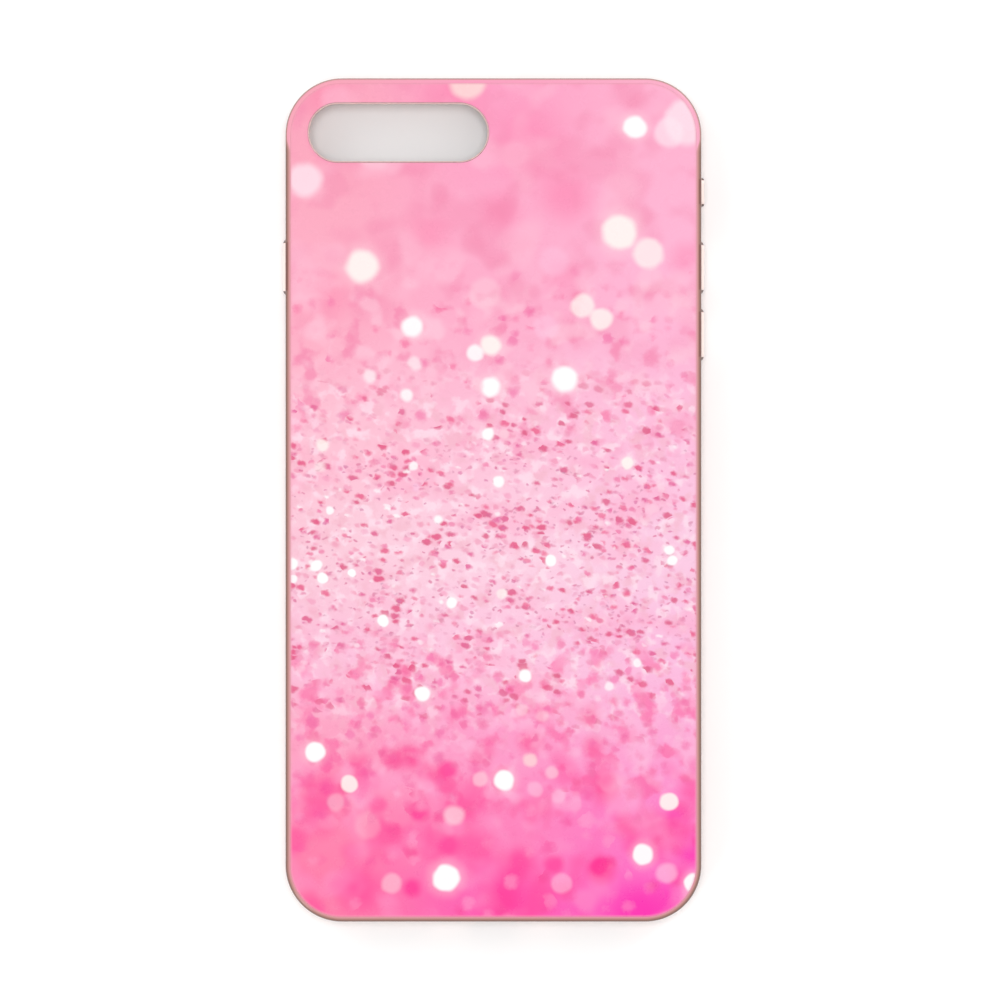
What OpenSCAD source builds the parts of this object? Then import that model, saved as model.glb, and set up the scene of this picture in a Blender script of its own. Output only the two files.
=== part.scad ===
// Printed phone case: a soft frame with a printed, laminated back panel.
// It lies on its front lip with its back up. The camera end is at +Y.
// The origin is the centre of its footprint, on the surface it lies on.

/* [Phone] */
// Width of the phone that the case holds
phone_w = 77.9; // [76:0.1:80]
// Length of the phone
phone_l = 158.2; // [150:0.1:165]
// Thickness of the phone
phone_t = 7.3; // [6.8:0.1:8.5]
// Corner radius of the cavity, seen from behind
cavity_corner_r = 10; // [8:0.5:12]
// Room left around the phone, in total across each direction
phone_clearance = 0.2; // [0.1:0.05:0.4]

/* [Frame] */
// Thickness of the two long walls
side_wall = 0.6; // [0.6:0.05:1.5]
// Thickness of the two end walls
end_wall = 1.2; // [1:0.1:2]
// Corner radius of the case, seen from behind
case_corner_r = 10.8; // [10:0.1:12]
// Height of the lip around the screen
lip_h = 0.9; // [0.6:0.1:1.5]
// How far the lip reaches over the screen
lip_reach = 1.3; // [0.8:0.1:2]
// Radius of the edge around the back
back_round = 1; // [0.8:0.1:1.2]
// Radius of the edge around the front
front_round = 0.8; // [0.4:0.1:0.8]

/* [Back laminate] */
// Distance from the case's outline to the edge of the panel
panel_inset = 1; // [0.95:0.05:1.5]
// Thickness of the shelf that carries the panel
shelf_t = 0.4; // [0.3:0.05:0.6]
// How far the shelf reaches under the panel
shelf_reach = 2.5; // [1.5:0.1:3]
// Thickness of the bonding tape
tape_t = 0.1; // [0.05:0.05:0.2]
// Thickness of the panel over the tape
panel_t = 0.45; // [0.3:0.05:0.8]
// Thickness of the white base coat
base_t = 0.05; // [0.05:0.05:0.1]
// Thickness of the printed film
film_t = 0.1; // [0.05:0.05:0.2]
// Thickness of the clear top coat
coat_t = 0.1; // [0.05:0.05:0.2]
// Gap around a piece that is laid into another one
lay_gap = 0.05; // [0.03:0.01:0.1]

/* [Camera window] */
// Length of the camera window
window_l = 34; // [25:0.5:36]
// Width of the camera window
window_w = 10.9; // [9:0.1:12]
// Distance from the case's centre line to the window's centre, to the left
window_left = 18.1; // [17:0.1:20]
// Distance from the case's middle to the window's centre, towards the top
window_up = 70; // [66:0.5:70.5]
// Thickness of the liner round the window's edge
liner_t = 0.25; // [0.2:0.05:0.6]

/* [Buttons] */
// How far the buttons stand out from the wall
bump_out = 0.6; // [0.4:0.05:0.8]
// Height of a button at its foot, across the wall
bump_h = 5; // [4.4:0.1:5.4]
// Width of the slanted web around a button's pad, at both ends
web_run = 0.8; // [0.8:0.1:1.4]
// Thickness of the web
web_t = 0.35; // [0.3:0.05:0.5]
// Thickness of a pad
pad_t = 0.85; // [0.7:0.05:1]
// How far a pad's rib stands out towards the phone's own button
rib_out = 0.25; // [0.1:0.05:0.3]
// Position of the power button along the left wall
power_y = 44.5; // [30:0.5:50]
// Length of the power button at its foot
power_l = 11; // [9:0.5:13]
// Position of the volume up button along the right wall
volume_up_y = 44.4; // [40:0.2:48]
// Position of the volume down button along the right wall
volume_down_y = 31.6; // [25:0.2:32]
// Length of each volume button at its foot
volume_l = 10.4; // [9:0.2:11.5]

/* [Openings in the walls] */
// Position of the mute switch's slot along the right wall
mute_y = 58.8; // [56:0.2:62]
// Length of the mute switch's slot
mute_l = 4.5; // [4.2:0.1:5]
// Height of the mute switch's slot
mute_h = 4.4; // [4.2:0.1:4.8]
// Width of the raised collar around that slot
collar_t = 0.65; // [0.5:0.05:1]
// Width of the opening for the charging port
port_w = 13; // [11:0.5:15]
// Height of the opening for the charging port
port_h = 6.4; // [5:0.2:6.6]
// Width of each speaker slot beside the port
speaker_w = 16; // [12:0.5:18]
// Height of each speaker slot
speaker_h = 4.4; // [4.2:0.1:5]
// Distance from the port's centre to a speaker slot's centre
speaker_x = 19; // [18:0.5:21]

/* [Hidden] */
$fn = 72;
// Overlap that makes a cut run clean through a face
cut = 0.5;
// Thickness of the slabs that a slanted block is stretched between
slab = 0.01;

cavity_w = phone_w + phone_clearance;
cavity_l = phone_l + phone_clearance;
cavity_h = phone_t + phone_clearance;
case_w = cavity_w + 2 * side_wall;
case_l = cavity_l + 2 * end_wall;

// Heights of the layers, counted up from the lip
cavity_top = lip_h + cavity_h;
shelf_top = cavity_top + shelf_t;
tape_top = shelf_top + tape_t;
panel_top = tape_top + panel_t;
base_top = panel_top + base_t;
film_top = base_top + film_t;
case_h = film_top + coat_t;

wall_x = case_w / 2;
button_z = lip_h + cavity_h / 2;
shelf_inset = panel_inset + shelf_reach;

// Width of the web's flat top around a pad
pad_edge = 0.3;
// Length and height of a pad's rib, as shares of the pad's own
rib_share_l = 0.6;
rib_share_h = 0.5;

clear_rose = [0.93, 0.72, 0.69, 0.75];
button_rose = [0.96, 0.82, 0.78];
panel_clear = [0.92, 0.93, 0.95, 0.6];

// A rectangle with round corners
module rounded_rect(w, l, r) {
    square([w, l - 2 * r], center = true);
    square([w - 2 * r, l], center = true);
    for (sx = [-1, 1], sy = [-1, 1])
        translate([sx * (w / 2 - r), sy * (l / 2 - r)]) circle(r);
}

// A flat layer with the case's outline, set in from it
module layer(inset, bottom, top) {
    translate([0, 0, bottom])
        linear_extrude(top - bottom)
            rounded_rect(case_w - 2 * inset, case_l - 2 * inset, case_corner_r - inset);
}

// A bar with round ends, along X, standing on the plane Z = 0
module pill(l, w, h) {
    linear_extrude(h) {
        square([l - w, w], center = true);
        for (side = [-1, 1])
            translate([side * (l - w) / 2, 0]) circle(w / 2);
    }
}

// The wall's outline from the inside out, with both outer edges rounded
module edge_profile(reach) {
    square([reach - back_round, case_h]);
    square([reach - front_round, case_h - back_round]);
    translate([0, front_round]) square([reach, case_h - front_round - back_round]);
    translate([reach - back_round, case_h - back_round]) circle(back_round);
    translate([reach - front_round, front_round]) circle(front_round);
}

// One half of a straight bar whose outer face is at +X, centred along Y
module half_bar(reach, length) {
    rotate([90, 0, 0])
        linear_extrude(length, center = true) edge_profile(reach);
}

// The case as a solid block, with its round corners and edges
module case_block() {
    straight_w = case_w - 2 * case_corner_r;
    straight_l = case_l - 2 * case_corner_r;
    for (turn = [0, 180])
        rotate([0, 0, turn]) {
            half_bar(case_w / 2, straight_l);
            translate([0, straight_l / 2, 0])
                rotate([0, 0, 90]) half_bar(case_corner_r, straight_w);
            for (side = [0, 1])
                translate([(1 - 2 * side) * straight_w / 2, straight_l / 2, 0])
                    rotate([0, 0, 90 * side])
                        rotate_extrude(angle = 90) edge_profile(case_corner_r);
        }
}

// A block laid against a side wall at the buttons' height, from x0 out to x1
module wall_block(side, y, l, h, x0, x1) {
    translate([side * (x0 + x1) / 2, y, button_z]) cube([x1 - x0, l, h], center = true);
}

// A block whose four sides slant in as it stands out from the wall
module slanted_block(side, y, l0, h0, l1, h1, x0, x1) {
    hull() {
        wall_block(side, y, l0, h0, x0, x0 + slab);
        wall_block(side, y, l1, h1, x1 - slab, x1);
    }
}

// The opening in the end wall at the case's bottom
module end_opening(x, w, h) {
    translate([x, -case_l / 2 - cut, button_z])
        rotate([-90, 0, 0]) pill(w, h, end_wall + 2 * cut);
}

// The three openings that the buttons sit in
module button_openings() {
    wall_block(-1, power_y, power_l, bump_h, wall_x - side_wall - cut, wall_x + cut);
    for (y = [volume_up_y, volume_down_y])
        wall_block(1, y, volume_l, bump_h, wall_x - side_wall - cut, wall_x + cut);
}

module bumper_frame() {
    color(clear_rose)
        difference() {
            union() {
                case_block();
                slanted_block(
                    1, mute_y,
                    mute_l + 2 * collar_t, mute_h + 2 * collar_t,
                    mute_l + collar_t, mute_h + collar_t,
                    wall_x - side_wall / 2, wall_x + bump_out
                );
            }
            translate([0, 0, lip_h])
                linear_extrude(cavity_h) rounded_rect(cavity_w, cavity_l, cavity_corner_r);
            translate([0, 0, -cut])
                linear_extrude(lip_h + 2 * cut)
                    rounded_rect(
                        cavity_w - 2 * lip_reach,
                        cavity_l - 2 * lip_reach,
                        cavity_corner_r - lip_reach
                    );
            layer(shelf_inset, cavity_top - cut, case_h + cut);
            layer(panel_inset, shelf_top, case_h + cut);
            button_openings();
            wall_block(1, mute_y, mute_l, mute_h, wall_x - side_wall - cut, wall_x + bump_out + cut);
            end_opening(0, port_w, port_h);
            for (side = [-1, 1])
                end_opening(side * speaker_x, speaker_w, speaker_h);
        }
}

// The camera window, grown on all sides, as a cutter through the back
module window_cutter(grow) {
    translate([-window_left, window_up, cavity_top - cut])
        pill(window_l + 2 * grow, window_w + 2 * grow, case_h - cavity_top + 2 * cut);
}

// One sheet of the back, as large as the panel, with the window cut out
module back_sheet(bottom, top) {
    difference() {
        layer(panel_inset + lay_gap, bottom, top);
        window_cutter(liner_t + lay_gap);
    }
}

module bond_tape() {
    color("whitesmoke")
        difference() {
            layer(panel_inset + lay_gap, shelf_top, tape_top);
            layer(shelf_inset, shelf_top - cut, tape_top + cut);
        }
}

module back_panel() {
    color(panel_clear)
        difference() {
            union() {
                layer(panel_inset + lay_gap, tape_top, panel_top);
                layer(shelf_inset + lay_gap, cavity_top, tape_top);
            }
            window_cutter(liner_t + lay_gap);
        }
}

module white_base() {
    color("white") back_sheet(panel_top, base_top);
}

module printed_film() {
    color([1, 0.68, 0.78]) back_sheet(base_top, film_top);
}

module top_coat() {
    color([1, 0.9, 0.95, 0.4]) back_sheet(film_top, case_h);
}

module window_liner() {
    color([0.8, 0.58, 0.56])
        difference() {
            translate([-window_left, window_up, cavity_top])
                pill(window_l + 2 * liner_t, window_w + 2 * liner_t, case_h - cavity_top);
            window_cutter(0);
        }
}

// The stiff middle of a button, with a rib on its inner side
module pad(side, y, foot_l) {
    face_x = wall_x + bump_out;
    pad_l = foot_l - 2 * web_run - 2 * pad_edge;
    pad_h = bump_h - 2 * web_run + pad_edge;
    color(button_rose) {
        wall_block(side, y, pad_l, pad_h, face_x - pad_t, face_x);
        wall_block(
            side, y, pad_l * rib_share_l, pad_h * rib_share_h,
            face_x - pad_t - rib_out, face_x - pad_t
        );
    }
}

// The thin slanted skirt that holds a pad in the wall
module web(side, y, foot_l) {
    face_x = wall_x + bump_out;
    top_l = foot_l - 2 * web_run;
    top_h = bump_h - 2 * web_run + 3 * pad_edge;
    foot_inner_l = foot_l - 2 * web_t - lay_gap;
    foot_inner_h = bump_h - 2 * web_t - lay_gap;
    color(clear_rose)
        difference() {
            union() {
                wall_block(side, y, foot_l - lay_gap, bump_h - lay_gap, wall_x - side_wall, wall_x);
                slanted_block(side, y, foot_l - lay_gap, bump_h - lay_gap, top_l, top_h, wall_x, face_x);
            }
            wall_block(side, y, foot_inner_l, foot_inner_h, wall_x - side_wall - cut, wall_x);
            slanted_block(
                side, y,
                foot_inner_l, foot_inner_h,
                top_l - 2 * pad_edge + lay_gap, top_h - 2 * pad_edge + lay_gap,
                wall_x - slab, face_x + slab
            );
        }
}

module power_pad() {
    pad(-1, power_y, power_l);
}

module power_web() {
    web(-1, power_y, power_l);
}

module volume_up_pad() {
    pad(1, volume_up_y, volume_l);
}

module volume_up_web() {
    web(1, volume_up_y, volume_l);
}

module volume_down_pad() {
    pad(1, volume_down_y, volume_l);
}

module volume_down_web() {
    web(1, volume_down_y, volume_l);
}

bumper_frame();
bond_tape();
back_panel();
white_base();
printed_film();
top_coat();
window_liner();
power_pad();
power_web();
volume_up_pad();
volume_up_web();
volume_down_pad();
volume_down_web();
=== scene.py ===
"""A thin phone case with a pink glitter print, lying on its front lip and seen from straight above."""
import math

import bmesh
import bpy
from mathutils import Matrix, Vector


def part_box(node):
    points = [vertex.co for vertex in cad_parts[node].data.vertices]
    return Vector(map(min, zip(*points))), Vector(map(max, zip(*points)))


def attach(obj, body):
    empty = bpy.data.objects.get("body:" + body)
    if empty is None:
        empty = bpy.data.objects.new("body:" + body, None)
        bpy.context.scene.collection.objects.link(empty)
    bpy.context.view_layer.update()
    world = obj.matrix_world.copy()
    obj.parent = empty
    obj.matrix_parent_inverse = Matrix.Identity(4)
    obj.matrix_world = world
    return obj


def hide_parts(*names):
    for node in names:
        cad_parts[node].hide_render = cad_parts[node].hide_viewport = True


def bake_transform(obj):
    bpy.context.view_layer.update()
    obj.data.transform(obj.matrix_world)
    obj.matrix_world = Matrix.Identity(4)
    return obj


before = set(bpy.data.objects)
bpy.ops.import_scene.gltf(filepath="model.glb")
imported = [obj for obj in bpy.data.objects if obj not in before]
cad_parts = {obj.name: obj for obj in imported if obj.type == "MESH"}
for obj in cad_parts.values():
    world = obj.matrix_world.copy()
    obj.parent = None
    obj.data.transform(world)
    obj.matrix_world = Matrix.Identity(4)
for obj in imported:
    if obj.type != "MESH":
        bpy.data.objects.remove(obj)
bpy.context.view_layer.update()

MM = 0.001

# ---------------------------------------------------------------- sizes, from the frame

frame_lo, frame_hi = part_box("bumper_frame")
HALF_W = -frame_lo.x
HALF_L = frame_hi.y
CASE_H = frame_hi.z
CORNER_R = 10.8 * MM

film_lo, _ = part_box("printed_film")
panel_lo, panel_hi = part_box("back_panel")
tape_lo, tape_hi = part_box("bond_tape")
base_lo, base_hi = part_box("white_base")
liner_lo, liner_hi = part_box("window_liner")
pad_lo, pad_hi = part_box("power_pad")

PANEL_INSET = 1.0 * MM
PLATE_INSET = PANEL_INSET + 0.012 * MM
SHELF_INSET = 3.5 * MM
CAVITY_TOP = panel_lo.z
SHELF_TOP = tape_lo.z
LIP_H = 0.9 * MM
LIP_REACH = 1.3 * MM
CAVITY_HALF_W = HALF_W - 0.6 * MM
CAVITY_HALF_L = HALF_L - 1.2 * MM
CAVITY_R = 10 * MM
BACK_ROUND = 1.0 * MM
FRONT_ROUND = 0.8 * MM
LINER_T = 0.25 * MM
LAY_GAP = 0.05 * MM  # between pieces that lie beside each other
SKIN = 0.005 * MM  # between layers that lie on each other
PILL_TRIM = 0.01 * MM  # off a pill's end radius, so that no edge has zero length
WINDOW_TRIM = 0.999  # the same for the camera window, as a share of the radius

BUTTONS = {"power": -1, "volume_up": 1, "volume_down": 1}  # on the left (-1) or the right (1) wall
BUMP_OUT = -pad_lo.x - HALF_W
BUTTON_Z = (pad_lo.z + pad_hi.z) / 2
PAD_R = 0.9 * MM
FOOT_R = 1.25 * MM
SEAT_R = 1.3 * MM

MUTE_Y = 58.8 * MM
MUTE_HALF_L = 2.25 * MM
MUTE_HALF_H = 2.2 * MM
MUTE_R = 1.1 * MM
COLLAR_T = 0.65 * MM
COLLAR_R = 1.4 * MM
COLLAR_FLAT = 2.2 * MM  # half the length of the collar's pale top

PORT_HALF_W = 6.5 * MM
PORT_HALF_H = 3.2 * MM
SPEAKER_X = 19 * MM
SPEAKER_HALF_W = 8 * MM
SPEAKER_HALF_H = 2.2 * MM

# ---------------------------------------------------------------- mesh building


def rounded_outline(half_u, half_w, radius, corner_steps):
    """Points round a rectangle with round corners, anticlockwise."""
    points = []
    for quarter in range(4):
        centre_u = (half_u - radius) * (1 if quarter in (0, 3) else -1)
        centre_w = (half_w - radius) * (1 if quarter in (0, 1) else -1)
        for step in range(corner_steps + 1):
            angle = math.pi / 2 * (quarter + step / corner_steps)
            points.append((centre_u + radius * math.cos(angle), centre_w + radius * math.sin(angle)))
    return points


def on_side(side, y):
    """Places (along the wall, up, out from the middle) on the left (-1) or right (1) wall."""
    return lambda u, w, n: Vector((side * n, y + u, BUTTON_Z + w))


def on_end(x):
    """Places (along the wall, up, out from the middle) on the end wall at the case's bottom."""
    return lambda u, w, n: Vector((x + u, -n, BUTTON_Z + w))


def on_back(x, y):
    """Places (across, along, up) on the case's back."""
    return lambda u, w, n: Vector((x + u, y + w, n))


def ring(place, half_u, half_w, radius, n, corner_steps):
    return [place(u, w, n) for u, w in rounded_outline(half_u, half_w, radius, corner_steps)]


def new_piece(name, built):
    """Makes a mesh object from a bmesh."""
    bmesh.ops.recalc_face_normals(built, faces=built.faces)
    mesh = bpy.data.meshes.new(name)
    built.to_mesh(mesh)
    built.free()
    piece = bpy.data.objects.new(name, mesh)
    bpy.context.scene.collection.objects.link(piece)
    return piece


def loft(rings, closed):
    """A skin through equal rings: closed joins the last to the first, otherwise both ends are capped."""
    built = bmesh.new()
    rows = [[built.verts.new(point) for point in points] for points in rings]
    count = len(rows[0])
    pairs = list(zip(rows, rows[1:]))
    if closed:
        pairs.append((rows[-1], rows[0]))
    for low, high in pairs:
        for i in range(count):
            j = (i + 1) % count
            built.faces.new((low[i], low[j], high[j], high[i]))
    if not closed:
        built.faces.new(rows[0])
        built.faces.new(rows[-1])
    return built


def final_mesh(piece):
    """Turns the piece's modifiers into its mesh."""
    graph = bpy.context.evaluated_depsgraph_get()
    graph.update()
    mesh = bpy.data.meshes.new_from_object(piece.evaluated_get(graph))
    piece.modifiers.clear()
    piece.data = mesh


def combine(piece, others, operation):
    """Joins or cuts a piece with others, which are then removed."""
    for other in others:
        step = piece.modifiers.new(operation.lower(), "BOOLEAN")
        step.operation = operation
        step.solver = "EXACT"
        step.object = other
        final_mesh(piece)
        bpy.data.objects.remove(other)


def smooth(piece):
    """Smooth shading, with sharp edges left crisp and large flat faces kept flat."""
    sharp = math.radians(32)
    built = bmesh.new()
    built.from_mesh(piece.data)
    bmesh.ops.remove_doubles(built, verts=built.verts, dist=1e-7)
    for face in built.faces:
        face.smooth = True
    for edge in built.edges:
        edge.smooth = len(edge.link_faces) == 2 and edge.calc_face_angle(0) < sharp
    built.to_mesh(piece.data)
    built.free()
    normals = piece.modifiers.new("flat faces stay flat", "WEIGHTED_NORMAL")
    normals.keep_sharp = True
    normals.weight = 100
    return piece


def flared(place, half_u, half_w, radius, inner_n, outer_n, fillet, corner_steps=12):
    """A cutter for an opening from inner_n to outer_n whose two mouths are rounded by fillet."""
    steps = 6
    stations = [(inner_n - MM, fillet)]
    for step in range(steps + 1):
        angle = math.pi / 2 * step / steps
        stations.append((inner_n + fillet * (1 - math.cos(angle)), fillet * (1 - math.sin(angle))))
    for step in range(steps + 1):
        angle = math.pi / 2 * (1 - step / steps)
        stations.append((outer_n - fillet * (1 - math.cos(angle)), fillet * (1 - math.sin(angle))))
    stations.append((outer_n + MM, fillet))
    rings = [
        ring(place, half_u + grow, half_w + grow, radius + grow, n, corner_steps)
        for n, grow in stations
    ]
    return new_piece("cutter", loft(rings, closed=False))


# ---------------------------------------------------------------- the frame


def frame_profile():
    """The frame's cross-section as (half width, half length, corner radius, height), once round."""
    profile = []

    def outer(inset, z):
        profile.append((HALF_W - inset, HALF_L - inset, CORNER_R - inset, z))

    def inner(inset, z):
        profile.append((CAVITY_HALF_W - inset, CAVITY_HALF_L - inset, CAVITY_R - inset, z))

    def turn(add, inset, z, radius, start, sweep, steps=6):
        """An arc about (inset, z), from start by sweep degrees, where 0 points inward and 90 points up."""
        for step in range(steps + 1):
            angle = math.radians(start + sweep * step / steps)
            add(inset + radius * math.cos(angle), z + radius * math.sin(angle))

    soft = 0.04 * MM  # the rounding of small edges
    cavity_soft = 0.5 * MM
    nose = 0.35 * MM  # the rounding of the front lip's inner edge
    turn(outer, FRONT_ROUND, FRONT_ROUND, FRONT_ROUND, 270, -90, 8)
    turn(outer, BACK_ROUND - soft / 2, CASE_H - BACK_ROUND, BACK_ROUND - soft / 2, 180, -86, 12)
    outer(PANEL_INSET, CASE_H - soft)
    outer(PANEL_INSET, SHELF_TOP)
    outer(SHELF_INSET - soft, SHELF_TOP)
    outer(SHELF_INSET, SHELF_TOP - soft)
    outer(SHELF_INSET, CAVITY_TOP + soft)
    outer(SHELF_INSET - soft, CAVITY_TOP)
    turn(inner, cavity_soft, CAVITY_TOP - cavity_soft, cavity_soft, 90, 90)
    turn(inner, cavity_soft, LIP_H + cavity_soft, cavity_soft, 180, 90)
    turn(inner, LIP_REACH - nose, LIP_H - nose, nose, 90, -90)
    turn(inner, LIP_REACH - nose, nose, nose, 0, -90)
    return profile


def end_opening(x, half_w, half_h):
    """A pill-shaped cutter for an opening in the end wall at the case's bottom."""
    mouth_round = 0.35 * MM
    return flared(on_end(x), half_w, half_h, half_h - PILL_TRIM, CAVITY_HALF_L, HALF_L, mouth_round)


def wall_openings():
    """Cutters for the mute slot, the port, the speaker slots and the places where the buttons sit."""
    slot_round = 0.2 * MM
    seat_round = 0.1 * MM
    mute_place = on_side(1, MUTE_Y)
    collar_top = HALF_W + BUMP_OUT
    cutters = [
        flared(mute_place, MUTE_HALF_L, MUTE_HALF_H, MUTE_R, CAVITY_HALF_W, collar_top, slot_round),
        end_opening(0, PORT_HALF_W, PORT_HALF_H),
        end_opening(-SPEAKER_X, SPEAKER_HALF_W, SPEAKER_HALF_H),
        end_opening(SPEAKER_X, SPEAKER_HALF_W, SPEAKER_HALF_H),
    ]
    for name, side in BUTTONS.items():
        low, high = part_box(name + "_web")
        place = on_side(side, (low.y + high.y) / 2)
        half_u = (high.y - low.y) / 2 + LAY_GAP / 2
        half_w = (high.z - low.z) / 2 + LAY_GAP / 2
        cutters.append(flared(place, half_u, half_w, SEAT_R, CAVITY_HALF_W, HALF_W, seat_round))
    return cutters


def mute_collar():
    """The raised rim round the mute switch's slot."""
    # Each row is (out from the wall, grow), in mm
    rows = [(-0.3, 0), (-0.02, 0), (0.06, -0.05), (0.2, -0.13), (0.42, -0.23), (0.54, -0.31), (0.6, -0.45)]
    place = on_side(1, MUTE_Y)
    half_l = MUTE_HALF_L + COLLAR_T
    half_h = MUTE_HALF_H + COLLAR_T
    rings = [
        ring(place, half_l + grow * MM, half_h + grow * MM, COLLAR_R + grow * MM, HALF_W + n * MM, 12)
        for n, grow in rows
    ]
    return new_piece("collar", loft(rings, closed=False))


def bumper_frame():
    """The soft frame: a cross-section carried round the case, with its collar and its openings."""
    place = on_back(0, 0)
    rings = [ring(place, half_w, half_l, radius, z, 24) for half_w, half_l, radius, z in frame_profile()]
    piece = new_piece("soft_frame", loft(rings, closed=True))
    combine(piece, [mute_collar()], "UNION")
    combine(piece, wall_openings(), "DIFFERENCE")
    return smooth(piece)


# ---------------------------------------------------------------- the back


def window_place():
    return on_back((liner_lo.x + liner_hi.x) / 2, (liner_lo.y + liner_hi.y) / 2)


def window_cutter(fillet):
    """The camera window, as a cutter that leaves room for the liner."""
    half_u = (liner_hi.x - liner_lo.x) / 2 + LAY_GAP
    half_w = (liner_hi.y - liner_lo.y) / 2 + LAY_GAP
    radius = half_w * WINDOW_TRIM
    return flared(window_place(), half_u, half_w, radius, CAVITY_TOP - MM, CASE_H, fillet, 24)


def plate(name, steps, fillet=0.0):
    """A plate with the case's outline and the camera window, from (inset, height) steps."""
    place = on_back(0, 0)
    rings = [ring(place, HALF_W - i, HALF_L - i, CORNER_R - i, z, 24) for i, z in steps]
    piece = new_piece(name, loft(rings, closed=False))
    combine(piece, [window_cutter(fillet)], "DIFFERENCE")
    return smooth(piece)


def printed_back():
    """The printed film under its clear gloss coat, with softly rounded edges."""
    edge = 0.04 * MM
    arc_steps = 6
    steps = [(PLATE_INSET, film_lo.z + SKIN)]
    for step in range(arc_steps + 1):
        angle = math.pi / 2 * step / arc_steps
        steps.append((PLATE_INSET + edge * (1 - math.cos(angle)), CASE_H - edge * (1 - math.sin(angle))))
    return plate("printed_back", steps, edge)


def white_backing():
    return plate("white_backing", [(PLATE_INSET, base_lo.z + SKIN), (PLATE_INSET, base_hi.z - SKIN)])


def clear_panel():
    """The clear panel, stepped so that its middle fills the shelf's opening."""
    inner = SHELF_INSET + LAY_GAP
    steps = [
        (inner + 0.15 * MM, panel_lo.z), (inner, panel_lo.z + 0.1 * MM), (inner, tape_hi.z + SKIN),
        (PLATE_INSET, tape_hi.z + SKIN), (PLATE_INSET, panel_hi.z - SKIN),
    ]
    return plate("clear_panel", steps)


def bonding_ring():
    """The ring of tape between the frame's shelf and the panel."""
    place = on_back(0, 0)
    outline = [
        (PLATE_INSET, tape_lo.z + SKIN), (PLATE_INSET, tape_hi.z - SKIN),
        (SHELF_INSET, tape_hi.z - SKIN), (SHELF_INSET, tape_lo.z + SKIN),
    ]
    rings = [ring(place, HALF_W - i, HALF_L - i, CORNER_R - i, z, 24) for i, z in outline]
    return smooth(new_piece("bonding_ring", loft(rings, closed=True)))


def window_bead():
    """The thin soft liner round the camera window's cut edge."""
    half_u = (liner_hi.x - liner_lo.x) / 2
    half_w = (liner_hi.y - liner_lo.y) / 2
    soft = 0.11 * MM
    arc_steps = 5
    sections = []
    for centre_inset, centre_z, start in (
        (soft, liner_hi.z - soft, 180), (LINER_T - soft, liner_hi.z - soft, 90),
        (LINER_T - soft, liner_lo.z + soft, 0), (soft, liner_lo.z + soft, -90),
    ):
        for step in range(arc_steps + 1):
            angle = math.radians(start - 90 * step / arc_steps)
            sections.append((centre_inset + soft * math.cos(angle), centre_z + soft * math.sin(angle)))
    rings = [
        ring(window_place(), half_u - i, half_w - i, (half_w - i) * WINDOW_TRIM, z, 28)
        for i, z in sections
    ]
    return smooth(new_piece("window_bead", loft(rings, closed=True)))


# ---------------------------------------------------------------- the buttons


def button_shape(name):
    """Where a button sits, with the half sizes of its pad and of its web's foot."""
    low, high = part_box(name + "_web")
    inner_low, inner_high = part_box(name + "_pad")
    place = on_side(BUTTONS[name], (low.y + high.y) / 2)
    pad = ((inner_high.y - inner_low.y) / 2, (inner_high.z - inner_low.z) / 2)
    foot = ((high.y - low.y) / 2, (high.z - low.z) / 2)
    return place, pad, foot


def button_pad(name):
    """The pressed middle of a button: a soft-edged pad with a rib behind it."""
    place, (half_u, half_w), _ = button_shape(name)
    top = HALF_W + BUMP_OUT
    # Each row is (out from the pad's top, grow), in mm
    rows = [
        (-0.85, -0.06), (-0.79, 0), (-0.1, 0), (-0.06, -0.012), (-0.02, -0.05), (0, -0.12), (-0.03, -0.45),
    ]
    rings = [
        ring(place, half_u + grow * MM, half_w + grow * MM, PAD_R + grow * MM, top + n * MM, 10)
        for n, grow in rows
    ]
    piece = new_piece(name + "_button", loft(rings, closed=False))
    rib_rows = [(-1.1, -0.1), (-1.03, 0), (-0.8, 0)]
    rib_u, rib_w, rib_r = half_u * 0.6, half_w * 0.5, 0.6 * MM
    rib = [
        ring(place, rib_u + grow * MM, rib_w + grow * MM, rib_r + grow * MM, top + n * MM, 10)
        for n, grow in rib_rows
    ]
    combine(piece, [new_piece("rib", loft(rib, closed=False))], "UNION")
    return smooth(piece)


def button_skirt(name):
    """The thin slanted web that holds a pad in the wall."""
    place, (pad_u, pad_w), (foot_u, foot_w) = button_shape(name)
    pad_gap, web_t = 0.015, 0.35
    # Each row is (out from the wall, share of the way from foot to pad, grow), in mm
    rows = [
        (-0.59, 0, -0.02), (-0.2, 0, -0.02), (-0.1, 0, -0.04), (-0.04, 0, -0.1), (0.03, 0.04, -0.05),
        (0.12, 0.14, -0.01), (0.28, 0.34, 0.01), (0.42, 0.54, 0.02), (0.53, 0.7, 0.01), (0.58, 0.82, -0.02),
        (0.6, 1, 0.06), (0.59, 1, pad_gap + 0.01), (0.56, 1, pad_gap), (0.3, 1, pad_gap),
        (0.12, 0.75, 0), (-0.1, 0.3, -0.15), (-0.2, 0, -web_t), (-0.59, 0, -web_t),
    ]
    rings = []
    for n, share, grow in rows:
        half_u = foot_u + (pad_u - foot_u) * share + grow * MM
        half_w = foot_w + (pad_w - foot_w) * share + grow * MM
        radius = FOOT_R + (PAD_R - FOOT_R) * share + grow * MM
        rings.append(ring(place, half_u, half_w, radius, HALF_W + n * MM, 12))
    return smooth(new_piece(name + "_skirt", loft(rings, closed=True)))


# ---------------------------------------------------------------- materials


def linear(red, green, blue):
    """A colour given as it looks on a screen, 0 to 255, in linear light."""
    def one(value):
        value /= 255
        return value / 12.92 if value <= 0.04045 else ((value + 0.055) / 1.055) ** 2.4
    return one(red), one(green), one(blue)


def shade(red, green, blue):
    return linear(red, green, blue) + (1.0,)


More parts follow.
